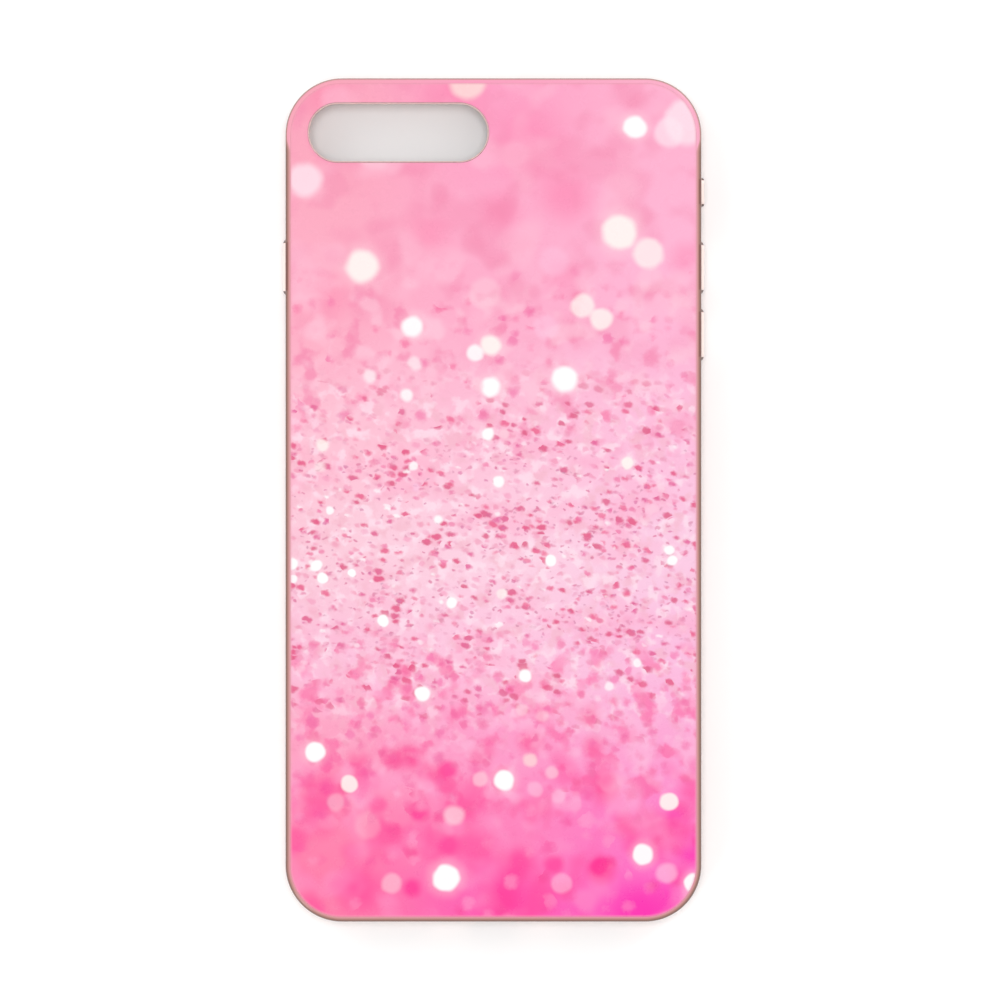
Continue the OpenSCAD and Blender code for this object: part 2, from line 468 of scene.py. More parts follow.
class Graph:
    """Short ways to write a material's nodes. Values are sockets, numbers or tuples."""

    def __init__(self, name):
        self.material = bpy.data.materials.new(name)
        self.material.use_nodes = True
        self.tree = self.material.node_tree
        self.tree.nodes.clear()

    def node(self, kind, values=None, **settings):
        made = self.tree.nodes.new(kind)
        for key, value in settings.items():
            setattr(made, key, value)
        for key, value in (values or {}).items():
            if isinstance(value, bpy.types.NodeSocket):
                self.tree.links.new(value, made.inputs[key])
            else:
                made.inputs[key].default_value = value
        return made

    def math(self, operation, a, b=0.0, c=0.0):
        return self.node("ShaderNodeMath", {0: a, 1: b, 2: c}, operation=operation).outputs[0]

    def vector(self, operation, a, b=(0, 0, 0)):
        made = self.node("ShaderNodeVectorMath", {0: a, 1: b}, operation=operation)
        return made.outputs["Value" if operation in ("DISTANCE", "LENGTH", "DOT_PRODUCT") else "Vector"]

    def scaled(self, vector, scale):
        made = self.node("ShaderNodeVectorMath", {0: vector, "Scale": scale}, operation="SCALE")
        return made.outputs["Vector"]

    def steps(self, value, low, high, start=0.0, end=1.0):
        """Start below low, end above high, and a smooth change between them."""
        values = {"Value": value, "From Min": low, "From Max": high, "To Min": start, "To Max": end}
        return self.node("ShaderNodeMapRange", values, interpolation_type="SMOOTHSTEP").outputs["Result"]

    def mix(self, amount, a, b):
        """Colour a changing to colour b as amount goes from 0 to 1."""
        return self.node("ShaderNodeMix", {0: amount, 6: a, 7: b}, data_type="RGBA").outputs[2]

    def noise(self, where, scale, detail=2.0, roughness=0.5):
        values = {"Vector": where, "Scale": scale, "Detail": detail, "Roughness": roughness}
        return self.node("ShaderNodeTexNoise", values, noise_dimensions="3D")

    def cells(self, where, scale, randomness=1.0):
        values = {"Vector": where, "Scale": scale, "Randomness": randomness}
        return self.node("ShaderNodeTexVoronoi", values, feature="F1")

    def ramp(self, value, stops):
        """A colour ramp from (position, colour) stops."""
        made = self.node("ShaderNodeValToRGB", {"Fac": value})
        made.color_ramp.interpolation = "EASE"
        elements = made.color_ramp.elements
        while len(elements) < len(stops):
            elements.new(0.5)
        for element, (position, colour) in zip(elements, stops):
            element.position = position
            element.color = colour
        return made.outputs["Color"]

    def bump(self, height, strength, distance):
        values = {"Height": height, "Strength": strength, "Distance": distance}
        return self.node("ShaderNodeBump", values).outputs["Normal"]

    def object_mm(self):
        """The point in the case's frame, in millimetres."""
        return self.scaled(self.node("ShaderNodeTexCoord").outputs["Object"], 1000.0)

    def surface(self, values):
        shader = self.node("ShaderNodeBsdfPrincipled", values)
        self.node("ShaderNodeOutputMaterial", {"Surface": shader.outputs[0]})
        return self.material


FLAT = (1.0, 1.0, 0.0)  # a place times this keeps its X and Y only
LIGHT = 1.1  # how much light falls on the back, where 1 makes a white surface white
GLARE = 0.022  # how much of it the gloss coat sends back without colour


def ink(red, green, blue):
    """A print colour that looks like this screen colour under this scene's light and the gloss coat."""
    return tuple(max(value - GLARE, 0.0) / LIGHT for value in linear(red, green, blue)) + (1.0,)


HEIGHT_SPAN = 160.0  # the colour ramps run over this length, in mm, from the bottom of the case to its top

# The print's broad colours: (height on the case in mm, colour) up its left, middle and right
LEFT_COLOURS = [
    (-78, (253, 124, 168)), (-62, (253, 130, 172)), (-47, (252, 162, 194)), (-30, (251, 192, 217)),
    (-10, (251, 203, 219)), (12, (253, 194, 212)), (38, (252, 173, 196)), (78, (250, 166, 188)),
]
MIDDLE_COLOURS = [
    (-78, (253, 94, 178)), (-62, (253, 130, 186)), (-47, (252, 156, 200)), (-30, (252, 198, 223)),
    (-10, (252, 209, 227)), (12, (252, 190, 214)), (38, (252, 172, 202)), (78, (252, 160, 196)),
]
RIGHT_COLOURS = [
    (-78, (253, 98, 194)), (-62, (253, 126, 198)), (-47, (252, 162, 210)), (-30, (251, 190, 224)),
    (-10, (251, 203, 228)), (12, (252, 190, 220)), (38, (253, 181, 212)), (78, (253, 176, 206)),
]

# The bands that the glitter changes in, in mm up the case: none below the first height or above the last,
# and all of it between the middle two
BANDS = {
    "top": (16, 40, 90, 100), "upper": (4, 16, 34, 50), "middle": (-52, -32, 14, 30),
    "sharp": (-38, -20, 4, 18), "lower": (-68, -54, -34, -22), "fading": (-62, -46, -30, -18),
    "bottom": (-100, -90, -56, -40),
}

WHITE = (255, 253, 254)
CREAM = (255, 243, 240)
PEACH = (254, 222, 218)
BLUSH = (255, 238, 238)
PALE = (254, 230, 240)
ROSE = (254, 208, 222)
LILAC = (254, 204, 230)
HOT = (255, 50, 148)
DEEP = (250, 84, 150)
VIVID = (253, 38, 176)
GLOW = (255, 222, 230)
GLOWING = 0.9  # spots stronger than this have a glow

# The print's spots: (x, y, radius) in mm, how soft the edge is, how strong the spot is, and its colour.
# The dark ones lie under the glitter. The light ones lie over it, and so does one dark one, which is last.
DARK_SPOTS = [
    (4.5, -69.5, 3.2, 0.7, 0.7, HOT), (20.5, -70.5, 2.6, 0.5, 0.9, HOT), (2, -76, 4.2, 0.8, 0.75, HOT),
    (-16, -49, 1.9, 0.5, 0.7, HOT), (-8.8, -51.4, 1.8, 0.5, 0.8, HOT), (-14, -59.4, 1.7, 0.5, 0.8, HOT),
    (-8.6, -65.7, 1.9, 0.6, 0.7, HOT), (-15.5, -74, 1.6, 0.6, 0.8, HOT),
    (11.5, -69.5, 1.8, 0.6, 0.7, HOT), (35, -60, 2.0, 0.6, 0.6, VIVID), (-22, -58, 1.6, 0.6, 0.5, HOT),
    (-27, -67, 1.8, 0.7, 0.4, HOT), (27.5, -79, 5.2, 0.7, 0.85, VIVID), (34, -77, 3.6, 0.8, 0.6, VIVID),
    (-25.5, -74.5, 3.6, 0.8, 0.6, HOT), (-33, -61, 2.8, 0.8, 0.4, HOT), (-13, -64.5, 3.2, 0.8, 0.5, HOT),
    (38, -66.5, 2.6, 0.7, 0.85, VIVID), (22, -54, 2.2, 0.7, 0.65, DEEP), (20.5, -56, 1.9, 0.7, 0.5, DEEP),
    (7, -46, 2.2, 0.7, 0.6, DEEP), (19, -47, 1.9, 0.7, 0.6, DEEP), (18.5, -41, 1.9, 0.7, 0.55, DEEP),
    (9, -57.5, 2.0, 0.7, 0.55, DEEP), (25.5, -62, 2.4, 0.7, 0.5, DEEP), (30, -61, 2.2, 0.7, 0.5, DEEP),
    (-17, -49.5, 2.6, 0.6, 0.65, DEEP), (-11.5, -52, 2.0, 0.7, 0.6, DEEP),
    (-26, -50, 2.2, 0.7, 0.5, DEEP), (-2, -48, 2.0, 0.7, 0.55, DEEP), (14, 58, 4.2, 0.9, 0.35, DEEP),
    (-8, 77, 5.0, 0.9, 0.3, DEEP), (7, 68, 6.0, 0.9, 0.28, DEEP), (-12, 51, 3.4, 0.9, 0.25, DEEP),
    (1.5, 55, 3.0, 0.9, 0.3, DEEP), (-32, 77.5, 4.0, 0.9, 0.3, DEEP), (36.5, 46, 2.6, 0.8, 0.3, DEEP),
    (-31, 38, 3.6, 0.9, 0.25, DEEP), (13.5, 42, 3.0, 0.9, 0.22, DEEP),
]
LIGHT_SPOTS = [
    (27, 71, 2.1, 0.25, 1.0, WHITE), (37, 72, 4.4, 0.2, 0.75, PALE), (33.5, 70, 2.7, 0.25, 0.6, PALE),
    (24, 51, 3.2, 0.25, 0.95, CREAM), (29.5, 47, 2.9, 0.25, 0.8, BLUSH),
    (-25, 44.5, 3.0, 0.3, 0.95, CREAM), (-36, 61, 3.2, 0.3, 0.75, PALE),
    (-5, 79.5, 3.2, 0.25, 0.8, PEACH), (-22.5, 66, 3.0, 0.3, 0.4, ROSE),
    (-15.5, 33, 1.9, 0.3, 0.95, WHITE), (-1.5, 39.5, 2.9, 0.25, 0.4, ROSE),
    (17, 37, 2.3, 0.25, 0.75, CREAM), (20.5, 34.5, 2.1, 0.25, 0.8, CREAM), (30, 42, 2.5, 0.3, 0.3, ROSE),
    (11.5, 45.5, 2.8, 0.3, 0.3, LILAC), (10, 33, 2.3, 0.3, 0.35, LILAC),
    (-0.5, 29.5, 1.9, 0.3, 0.95, CREAM), (-3.5, 28, 1.5, 0.3, 0.85, WHITE),
    (13.5, 23, 2.4, 0.25, 1.0, WHITE), (-0.5, 21.5, 1.8, 0.3, 1.0, WHITE), (-3, 22, 1.3, 0.4, 0.5, ROSE),
    (-15, 26, 1.3, 0.4, 0.5, WHITE), (-23.5, 23.5, 1.3, 0.4, 0.55, WHITE),
    (-16.5, 20, 1.1, 0.4, 0.8, WHITE), (-1, 12.5, 1.1, 0.3, 1.0, WHITE), (2, 12.5, 0.9, 0.35, 0.7, ROSE),
    (-32.5, 10.5, 1.2, 0.35, 0.85, CREAM), (25.5, 7, 1.1, 0.25, 0.95, CREAM),
    (1, 3.5, 1.1, 0.25, 0.95, WHITE), (11, -11.5, 1.1, 0.2, 1.0, WHITE),
    (-38.3, -12, 1.0, 0.25, 1.0, WHITE), (-33.8, -12.5, 1.1, 0.25, 1.0, WHITE),
    (-32.6, -15, 1.0, 0.2, 1.0, WHITE), (-38.3, -15, 0.9, 0.25, 0.9, WHITE),
    (-27, -14, 0.8, 0.2, 1.0, WHITE), (-8, -19.5, 1.0, 0.25, 1.0, WHITE),
    (-21, -23, 1.1, 0.2, 1.0, WHITE), (-15.2, 6.5, 0.9, 0.3, 0.8, WHITE),
    (-10.5, -3.7, 0.8, 0.4, 0.9, WHITE), (-31.2, -2, 0.75, 0.3, 0.9, WHITE),
    (-14.7, 2.5, 0.7, 0.5, 0.6, LILAC), (-33, 6.3, 1.0, 0.5, 0.45, CREAM),
    (1.5, -18, 1.0, 0.3, 0.7, CREAM), (33.5, -9.5, 0.9, 0.25, 0.95, WHITE),
    (34, -11.5, 0.9, 0.25, 0.95, WHITE), (27.5, -31, 0.8, 0.3, 0.8, WHITE),
    (-13.5, -37, 1.4, 0.2, 1.0, WHITE), (6, -33.5, 1.2, 0.25, 1.0, WHITE),
    (22, -35.5, 0.9, 0.4, 0.7, WHITE), (5.5, -40, 1.1, 0.35, 0.6, ROSE),
    (9.3, -41.2, 1.2, 0.4, 0.45, ROSE), (20.7, -40.7, 1.3, 0.4, 0.4, LILAC),
    (-34, -48, 1.9, 0.18, 1.0, WHITE), (-27.5, -54, 1.6, 0.2, 0.85, CREAM),
    (2, -53.5, 1.9, 0.2, 1.0, WHITE), (-2.5, -53, 1.5, 0.3, 0.6, ROSE),
    (7, -49.5, 1.3, 0.35, 0.65, PEACH), (11, -52, 1.2, 0.35, 0.55, ROSE),
    (7.9, -55, 1.5, 0.3, 0.45, LILAC), (12.4, -56.5, 1.3, 0.35, 0.4, LILAC),
    (24.6, -56.5, 3.4, 0.4, 0.25, LILAC), (28, -48, 2.8, 0.4, 0.3, LILAC),
    (-9, -72, 2.5, 0.18, 1.0, WHITE), (-7.5, -60, 1.9, 0.35, 0.7, ROSE),
    (28.5, -67.5, 1.9, 0.2, 0.95, WHITE), (33, -71, 1.9, 0.3, 0.5, LILAC),
    (38, -73, 1.7, 0.2, 0.95, WHITE), (33.5, -57.5, 1.7, 0.2, 0.9, CREAM),
    (13, -73, 1.9, 0.25, 0.4, LILAC), (-19.5, -73, 1.9, 0.3, 0.5, ROSE),
    (-30, -57.5, 1.7, 0.3, 0.4, ROSE), (-24, -62, 2.4, 0.3, 0.25, ROSE), (20.3, -70, 1.7, 0.45, 0.9, HOT),
]


def rim_distance(graph, flat):
    """How far a point is inside the case's outline, in mm, near that outline."""
    radius = CORNER_R / MM
    middle = (HALF_W / MM - radius, HALF_L / MM - radius, 0.0)
    beyond = graph.vector("MAXIMUM", graph.vector("SUBTRACT", graph.vector("ABSOLUTE", flat), middle))
    return graph.math("SUBTRACT", radius, graph.vector("LENGTH", beyond))


def print_ground(graph, across, height, flat):
    """The print's broad colours, whose heights wander a little."""
    wander = graph.noise(flat, 0.06, 2).outputs["Fac"]
    drift = graph.math("MULTIPLY", graph.math("SUBTRACT", wander, 0.5), 16.0)
    drifted = graph.math("ADD", height, drift)
    share = graph.math("ADD", graph.math("DIVIDE", drifted, HEIGHT_SPAN), 0.5)
    ramps = [
        graph.ramp(share, [(height_mm / HEIGHT_SPAN + 0.5, ink(*colour)) for height_mm, colour in stops])
        for stops in (LEFT_COLOURS, MIDDLE_COLOURS, RIGHT_COLOURS)
    ]
    left_half = graph.mix(graph.steps(across, -34.0, 2.0), ramps[0], ramps[1])
    return graph.mix(graph.steps(across, -2.0, 34.0), left_half, ramps[2])


def band(graph, height, low, full_low, full_high, high):
    """1 between the full heights, fading to 0 at low and high."""
    rise = graph.steps(height, low, full_low)
    fall = graph.steps(height, full_high, high, 1.0, 0.0)
    return graph.math("MULTIPLY", rise, fall)


def blotches(graph, where, scale, low, high, strength):
    """Soft patches, as an amount from 0 to strength."""
    value = graph.noise(where, scale, 1.5, 0.45).outputs["Fac"]
    return graph.steps(value, low, high, 0.0, strength)


def shifted(graph, where, x, y):
    """The same place moved, so that a second texture of the same kind looks different."""
    return graph.vector("ADD", where, (x, y, 0.0))


def turned(graph, where, degrees):
    """The same place turned about Z, so that textures of one kind don't line up."""
    values = {"Vector": where, "Angle": math.radians(degrees)}
    return graph.node("ShaderNodeVectorRotate", values, rotation_type="Z_AXIS").outputs["Vector"]


def flakes(graph, where, scale, radius, softness, density):
    """Scattered flakes: how much each covers, and a random number for each. density is 0 to 1."""
    cells = graph.cells(where, scale)
    own = graph.node("ShaderNodeSeparateColor", {"Color": cells.outputs["Color"]})
    size = graph.math("MULTIPLY_ADD", own.outputs["Green"], radius * 0.6, radius * 0.7)
    low = graph.math("SUBTRACT", size, softness)
    high = graph.math("ADD", size, softness)
    cover = graph.steps(cells.outputs["Distance"], low, high, 1.0, 0.0)
    chosen = graph.math("LESS_THAN", own.outputs["Red"], density)
    return graph.math("MULTIPLY", cover, chosen), own.outputs["Blue"]


def scatter(graph, colour, flake, within, strength, tones):
    """Lays flakes over a colour, each in one of the tones, inside a band."""
    cover, own = flake
    share = graph.math("MULTIPLY", graph.math("MULTIPLY", cover, within), strength)
    stops = [(i / (len(tones) - 1), ink(*tone)) for i, tone in enumerate(tones)]
    return graph.mix(share, colour, graph.ramp(own, stops))


def print_blotches(graph, colour, bands, flat, bent):
    """Soft blotches, the larger the farther they are from the sharp band across the middle."""
    for band_name, where, scale, low, high, strength, tone in (
        ("top", shifted(graph, flat, 40, 0), 0.085, 0.5, 0.66, 0.4, (244, 140, 176)),
        ("top", flat, 0.14, 0.5, 0.68, 0.4, (242, 138, 174)),
        ("top", shifted(graph, flat, 0, 90), 0.1, 0.5, 0.68, 0.45, (255, 192, 214)),
        ("upper", bent, 0.24, 0.52, 0.7, 0.6, (243, 124, 168)),
        ("upper", shifted(graph, flat, 70, 0), 0.2, 0.5, 0.68, 0.5, (255, 205, 222)),
        ("middle", shifted(graph, bent, 30, 30), 0.3, 0.5, 0.7, 0.6, (244, 182, 200)),
        ("middle", shifted(graph, bent, 0, 50), 0.36, 0.5, 0.68, 0.7, (255, 226, 239)),
        ("lower", shifted(graph, bent, 60, 20), 0.22, 0.5, 0.66, 0.65, (250, 96, 160)),
        ("lower", shifted(graph, flat, 20, 70), 0.2, 0.5, 0.68, 0.5, (254, 190, 222)),
        ("bottom", flat, 0.1, 0.48, 0.68, 0.6, (255, 68, 152)),
        ("bottom", shifted(graph, flat, 50, 50), 0.11, 0.5, 0.68, 0.35, (254, 158, 206)),
    ):
        patches = blotches(graph, where, scale, low, high, strength)
        share = graph.math("MULTIPLY", patches, bands[band_name])
        colour = graph.mix(share, colour, ink(*tone))
    return colour


def print_flakes(graph, colour, bands, flat, bent, squat):
    """Flakes of glitter, crowded in streaks: crisp in the sharp band, blurred away from it."""
    sliver = graph.vector("MULTIPLY", turned(graph, bent, -24), (0.9, 1.9, 1.0))
    streaks = graph.vector("MULTIPLY", flat, (0.5, 1.0, 1.0))
    crowd = graph.noise(streaks, 0.11, 2.5).outputs["Fac"]
    crowded = graph.steps(crowd, 0.38, 0.62, 0.16, 0.62)
    thinned = graph.math("MULTIPLY", crowded, 0.6)
    sparse = graph.math("MULTIPLY", thinned, 0.7)
    flush = graph.math("MULTIPLY", graph.steps(crowd, 0.48, 0.66, 0.0, 0.4), bands["middle"])
    colour = graph.mix(flush, colour, ink(252, 168, 200))
    for band_name, where, scale, radius, softness, density, strength, tones in (
        ("away", shifted(graph, bent, 11, 7), 0.34, 0.32, 0.2, thinned, 0.6,
         [(244, 92, 150), (248, 116, 166), (240, 104, 164)]),
        ("fading", shifted(graph, bent, 17, 29), 0.45, 0.34, 0.2, 0.42, 0.6,
         [(240, 88, 150), (248, 128, 180), (244, 108, 170)]),
        ("bottom", shifted(graph, bent, 37, 41), 0.24, 0.3, 0.2, 0.4, 0.55,
         [(246, 58, 140), (252, 84, 164), (244, 72, 152)]),
        ("bottom", shifted(graph, bent, 53, 9), 0.27, 0.3, 0.2, 0.3, 0.35,
         [(255, 160, 200), (255, 178, 214)]),
        ("middle", shifted(graph, squat, 5, 3), 0.62, 0.34, 0.2, 0.45, 0.45,
         [(238, 118, 160), (224, 150, 184), (244, 134, 178)]),
        ("middle", squat, 0.5, 0.34, 0.17, crowded, 0.85,
         [(226, 72, 124), (240, 104, 148), (230, 92, 154), (222, 88, 130)]),
        ("sharp", shifted(graph, squat, 21, 13), 0.6, 0.3, 0.16, thinned, 0.7,
         [(236, 96, 144), (206, 132, 162), (242, 112, 164)]),
        ("sharp", sliver, 0.55, 0.26, 0.12, sparse, 0.55,
         [(212, 104, 148), (190, 136, 164), (224, 104, 150)]),
        ("sharp", shifted(graph, squat, 3, 17), 0.9, 0.27, 0.12, thinned, 0.65,
         [(218, 92, 142), (186, 130, 160), (222, 114, 166)]),
        ("sharp", shifted(graph, squat, 33, 3), 0.5, 0.24, 0.14, 0.1, 0.8,
         [(255, 240, 246), (255, 250, 252)]),
    ):
        flake = flakes(graph, where, scale, radius, softness, density)
        colour = scatter(graph, colour, flake, bands[band_name], strength, tones)
    return colour


def print_glitter(graph, colour, height, flat):
    """The glitter: soft far from the sharp band across the middle, and crisp in it."""
    bands = {name: band(graph, height, *heights) for name, heights in BANDS.items()}
    bands["away"] = graph.math("ADD", bands["upper"], bands["lower"])
    wobble = graph.vector("SUBTRACT", graph.noise(flat, 0.9, 2).outputs["Color"], (0.5, 0.5, 0.5))
    bent = graph.vector("ADD", flat, graph.scaled(wobble, 1.3))
    rough = turned(graph, graph.vector("ADD", flat, wobble), 12)
    squat = graph.vector("MULTIPLY", rough, (0.86, 1.35, 1.0))
    colour = print_blotches(graph, colour, bands, flat, bent)
    return print_flakes(graph, colour, bands, flat, bent, squat)


def print_spots(graph, colour, flat, spots):
    """The out-of-focus points of light and of deeper pink, the bright ones with a glow round them."""
    wobble = graph.vector("SUBTRACT", graph.noise(flat, 0.3, 1).outputs["Color"], (0.5, 0.5, 0.5))
    bent = graph.vector("ADD", flat, graph.scaled(wobble, 0.9))
    for x, y, radius, softness, strength, tone in spots:
        distance = graph.vector("DISTANCE", bent, (x, y, 0.0))
        if strength > GLOWING:
            glow = graph.steps(distance, radius * 0.7, radius * 2.0, 0.3, 0.0)
            colour = graph.mix(glow, colour, ink(*GLOW))
        amount = graph.steps(distance, radius * (1 - softness), radius * (1 + softness), strength, 0.0)
        colour = graph.mix(amount, colour, ink(*tone))
    return colour


def print_material():
    """The pink glitter print under its gloss coat."""
    graph = Graph("glitter_print")
    where = graph.object_mm()
    flat = graph.vector("MULTIPLY", where, FLAT)
    parts = graph.node("ShaderNodeSeparateXYZ", {"Vector": flat})
    across, height = parts.outputs["X"], parts.outputs["Y"]
    colour = print_ground(graph, across, height, flat)
    colour = print_spots(graph, colour, flat, DARK_SPOTS)
    colour = print_glitter(graph, colour, height, flat)
    colour = print_spots(graph, colour, flat, LIGHT_SPOTS)
    # painted shade: the print darkens slightly next to the rim, where the rim's painted shade begins
    rim_shade_start = graph.steps(rim_distance(graph, flat), 1.0, 1.5, 0.5, 0.0)
    colour = graph.mix(rim_shade_start, colour, ink(242, 168, 184))
    smear = graph.noise(where, 0.25, 4, 0.6).outputs["Fac"]
    waves = graph.noise(where, 0.35, 2).outputs["Fac"]
    return graph.surface({
        "Base Color": colour,
        "Roughness": graph.steps(smear, 0.35, 0.75, 0.24, 0.34),
        "Specular IOR Level": 0.3,
        "Coat Weight": 1.0,
        "Coat Roughness": 0.04,
        "Coat IOR": 1.45,
        "Coat Normal": graph.bump(waves, 0.05, 0.0004),
    })


def out_from_wall(graph, where):
    """How far a point stands out from the two side walls, in mm."""
    across = graph.node("ShaderNodeSeparateXYZ", {"Vector": where}).outputs["X"]
    return graph.math("SUBTRACT", graph.math("ABSOLUTE", across), HALF_W / MM)


def bump_colour_and_end_shade(graph, where, wall_colour, centre_y, half_flat):
    """Paler where a button or collar stands out from the walls, with painted shade on its two slanted ends.

    Gives the colour and how far the point is on the bump, 0 to 1.
    """
    height = graph.node("ShaderNodeSeparateXYZ", {"Vector": where}).outputs["Y"]
    along = graph.math("ABSOLUTE", graph.math("SUBTRACT", height, centre_y / MM))
    past_flat = graph.math("SUBTRACT", along, half_flat / MM)
    # painted shade: the slanted ends past the flat top turn dark brown
    pale = graph.mix(graph.steps(past_flat, -0.05, 0.2), shade(254, 234, 228), shade(84, 52, 46))
    on_bump = graph.steps(out_from_wall(graph, where), 0.02, 0.14)
    return graph.mix(on_bump, wall_colour, pale), on_bump


def shade_beside_bumps(graph, across, height):
    """1 on the rim next to a button or the collar, where shade is painted on the rim."""
    bumps = [(1, MUTE_Y, COLLAR_FLAT)]
    for name, side in BUTTONS.items():
        low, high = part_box(name + "_pad")
        bumps.append((side, (low.y + high.y) / 2, (high.y - low.y) / 2))
    total = 0.0
    for side, centre_y, half in bumps:
        along = graph.math("ABSOLUTE", graph.math("SUBTRACT", height, centre_y / MM))
        near = graph.steps(along, half / MM, half / MM + 0.4, 1.0, 0.0)
        same_side = graph.math("GREATER_THAN", graph.math("MULTIPLY", across, side), 0.0)
        total = graph.math("MULTIPLY_ADD", near, same_side, total)
    return total


def frame_material():
    """Clear rose-tinted soft plastic, with painted shade on the rounded edge round the back, darkest at the
    outline and beside the buttons and the collar.
    """
    graph = Graph("rose_soft_plastic")
    where = graph.object_mm()
    flat = graph.vector("MULTIPLY", where, FLAT)
    parts = graph.node("ShaderNodeSeparateXYZ", {"Vector": where})
    across, height, level = parts.outputs["X"], parts.outputs["Y"], parts.outputs["Z"]
    cloud = graph.noise(where, 0.12, 3, 0.55).outputs["Fac"]
    clear = graph.mix(graph.steps(cloud, 0.3, 0.7), shade(253, 208, 200), shade(255, 220, 213))
    clear, on_collar = bump_colour_and_end_shade(graph, where, clear, MUTE_Y, COLLAR_FLAT)

    # The painted shade on the edge is wide along the sides and the bottom, and narrow round the top
    edge_shade_width, less_at_top = 1.15, 0.75
    top_end = graph.steps(height, 66.0, 69.0)
    width = graph.math("SUBTRACT", edge_shade_width, graph.math("MULTIPLY", top_end, less_at_top))
    share = graph.math("DIVIDE", rim_distance(graph, flat), width)
    # painted shade: dark brown at the outline, lightening to rose inward, then blending into the print's
    # colours
    edge_shade = graph.ramp(share, [
        (0.0, ink(118, 88, 80)), (0.2, ink(136, 104, 95)), (0.42, ink(182, 134, 126)),
        (0.66, ink(212, 154, 154)), (1.0, ink(240, 168, 182)),
    ])
    # painted shade on the outer part of the rim beside each button and the collar
    outer_part = graph.steps(share, 0.25, 0.6, 0.55, 0.0)
    bump_shade = graph.math("MULTIPLY", shade_beside_bumps(graph, across, height), outer_part)
    edge_shade = graph.mix(bump_shade, edge_shade, ink(112, 58, 54))
    printed = graph.mix(0.25, print_ground(graph, across, height, flat), ink(240, 172, 180))
    edge_shade = graph.mix(graph.steps(share, 0.7, 1.05), edge_shade, printed)
    on_edge = graph.steps(level, CASE_H / MM - 1.0, CASE_H / MM - 0.6)
    solid = graph.math("MAXIMUM", on_edge, on_collar)
    return graph.surface({
        "Base Color": graph.mix(on_edge, clear, edge_shade),
        "Roughness": graph.steps(cloud, 0.3, 0.7, 0.14, 0.2),
        "IOR": 1.45,
        "Transmission Weight": graph.steps(solid, 0.0, 1.0, 0.4, 0.0),
        "Normal": graph.bump(cloud, 0.05, 0.0002),
    })


def button_material(name):
    """The same soft plastic, paler and not clear, with painted shade where it sinks into the wall."""
    graph = Graph("pale_rose_" + name)
    low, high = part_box(name + "_pad")
    centre_y = (low.y + high.y) / 2
    half_flat = (high.y - low.y) / 2 + 0.12 * MM
    where = graph.object_mm()
    cloud = graph.noise(where, 0.5, 2).outputs["Fac"]
    # painted shade on the web where it sinks into the wall
    seam_shade = graph.mix(graph.steps(cloud, 0.3, 0.7), shade(170, 126, 118), shade(184, 138, 130))
    seam_shade = graph.mix(graph.steps(out_from_wall(graph, where), -0.3, -0.1), shade(248, 212, 205), seam_shade)
    colour, _ = bump_colour_and_end_shade(graph, where, seam_shade, centre_y, half_flat)
    return graph.surface({
        "Base Color": colour,
        "Roughness": graph.steps(cloud, 0.3, 0.7, 0.24, 0.32),
        "IOR": 1.45,
        "Normal": graph.bump(cloud, 0.03, 0.0001),
    })


def liner_material():
    graph = Graph("rose_liner")
    where = graph.object_mm()
    fine = graph.noise(where, 4.0, 2).outputs["Fac"]
    colour = graph.mix(graph.steps(fine, 0.3, 0.7), shade(246, 206, 202), shade(250, 214, 210))
    return graph.surface({
        "Base Color": colour,
        "Roughness": graph.steps(fine, 0.3, 0.7, 0.25, 0.4),
        "Transmission Weight": 0.35,
        "Normal": graph.bump(fine, 0.06, 0.00004),
    })


def panel_material():
    """Clear hard plastic with the fine dots that stop it sticking to the phone."""
    graph = Graph("clear_hard_plastic")
    where = graph.object_mm()
    dots = graph.cells(graph.vector("MULTIPLY", where, FLAT), 1.0, 0.0)
    height = graph.steps(dots.outputs["Distance"], 0.18, 0.3, 1.0, 0.0)
    haze = graph.noise(where, 0.3, 3).outputs["Fac"]
    colour = graph.mix(graph.steps(haze, 0.3, 0.7), shade(247, 244, 246), shade(252, 250, 252))
    return graph.surface({
        "Base Color": colour,
        "Roughness": graph.steps(haze, 0.3, 0.7, 0.12, 0.22),
        "IOR": 1.5,
        "Transmission Weight": 0.5,
        "Normal": graph.bump(height, 0.3, 0.00003),
    })


def matte_material(name, first, second, scale):
    """A plain matt layer with faint clouds, for the white ink and the tape."""
    graph = Graph(name)
    cloud = graph.noise(graph.object_mm(), scale, 3, 0.6).outputs["Fac"]
    colour = graph.mix(graph.steps(cloud, 0.35, 0.65), shade(*first), shade(*second))
    return graph.surface({
        "Base Color": colour,
        "Roughness": graph.steps(cloud, 0.3, 0.7, 0.55, 0.7),
        "Normal": graph.bump(cloud, 0.05, 0.00005),
    })


def floor_material():
    graph = Graph("pale_floor")
    cloud = graph.noise(graph.object_mm(), 0.004, 2).outputs["Fac"]
    colour = graph.mix(cloud, shade(252, 252, 252), shade(255, 255, 255))
    return graph.surface({"Base Color": colour, "Roughness": 0.9, "Specular IOR Level": 0.0})


# ---------------------------------------------------------------- the model


def finish_piece(piece, material, body="shell", replaced=()):
    """Gives a piece its material, its body and the CAD pieces that it stands for.

    A piece without a body is left unattached, and its caller bakes its place into its mesh.
    """
    piece.data.materials.clear()
    piece.data.materials.append(material)
    if body:
        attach(piece, body)
    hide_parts(*replaced)


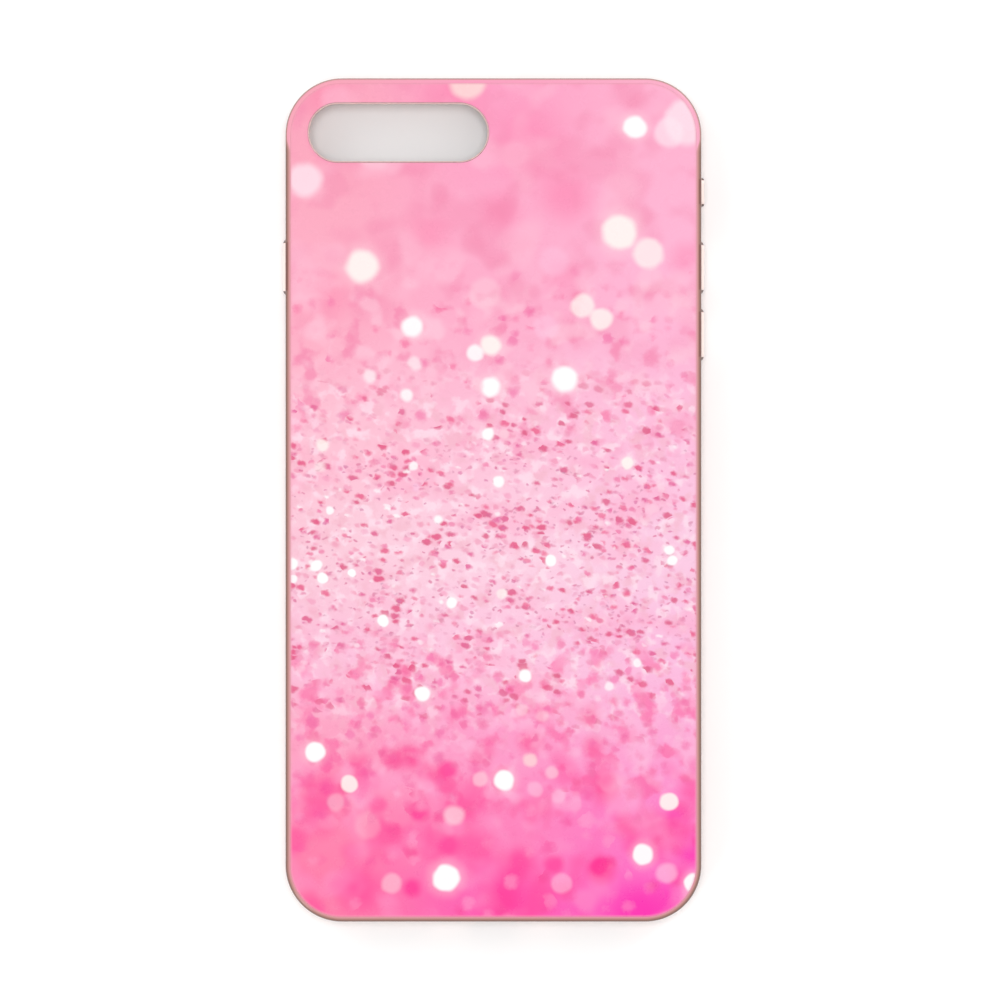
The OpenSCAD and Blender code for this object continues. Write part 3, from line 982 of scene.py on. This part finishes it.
def build_case():
    """Every piece of the case."""
    finish_piece(bumper_frame(), frame_material(), replaced=["bumper_frame"])
    finish_piece(printed_back(), print_material(), replaced=["printed_film", "top_coat"])
    white = matte_material("white_ink", (244, 240, 241), (250, 247, 248), 0.2)
    finish_piece(white_backing(), white, replaced=["white_base"])
    finish_piece(clear_panel(), panel_material(), replaced=["back_panel"])
    tape = matte_material("bonding_tape", (236, 233, 228), (244, 242, 238), 0.5)
    finish_piece(bonding_ring(), tape, replaced=["bond_tape"])
    finish_piece(window_bead(), liner_material(), replaced=["window_liner"])
    for name, side in BUTTONS.items():
        pale_rose = button_material(name)
        finish_piece(button_pad(name), pale_rose, name + "_button", [name + "_pad"])
        skirt = button_skirt(name)
        finish_piece(skirt, pale_rose, None, [name + "_web"])
        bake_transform(skirt)


# ---------------------------------------------------------------- floor, light and camera


def build_floor():
    """A plain floor, wide enough to fill every view."""
    reach = 3.0
    built = bmesh.new()
    corners = [(-reach, -reach), (reach, -reach), (reach, reach), (-reach, reach)]
    built.faces.new([built.verts.new((x, y, 0.0)) for x, y in corners])
    floor = new_piece("floor", built)
    floor.data.materials.append(floor_material())


def build_light():
    """A white room with a lamp overhead, a key lamp, and two low lamps that the glossy walls mirror."""
    world = bpy.data.worlds.new("studio")
    bpy.context.scene.world = world
    world.use_nodes = True
    background = world.node_tree.nodes["Background"]
    background.inputs["Color"].default_value = (1.0, 1.0, 1.0, 1.0)
    background.inputs["Strength"].default_value = 0.6
    for name, place, size, watts, mirrored in (
        ("overhead", (0.0, 0.05, 1.6), 0.5, 9.6, False), ("key", (-0.9, 0.7, 1.1), 0.8, 2.0, False),
        ("right_box", (1.0, 1.0, 0.65), 0.6, 4.5, True), ("left_box", (-1.0, -1.0, 0.65), 0.6, 4.5, True),
    ):
        lamp = bpy.data.lights.new(name, "AREA")
        lamp.shape = "DISK"
        lamp.size = size
        lamp.energy = watts
        holder = bpy.data.objects.new(name, lamp)
        holder.location = place
        holder.rotation_euler = (-Vector(place)).to_track_quat("-Z", "Y").to_euler()
        holder.visible_glossy = mirrored
        bpy.context.scene.collection.objects.link(holder)
    bpy.context.scene.view_settings.view_transform = "Standard"


def build_camera():
    """Straight above the back, far enough away to look almost flat."""
    view_width = 190.5 * MM
    view_centre_x = 1.25 * MM
    lens, sensor = 200.0, 36.0
    camera = bpy.data.cameras.new("camera")
    camera.lens, camera.sensor_width = lens, sensor
    holder = bpy.data.objects.new("camera", camera)
    holder.location = (view_centre_x, 0.0, CASE_H + view_width * lens / sensor)
    bpy.context.scene.collection.objects.link(holder)
    bpy.context.scene.camera = holder


build_case()
build_floor()
build_light()
build_camera()
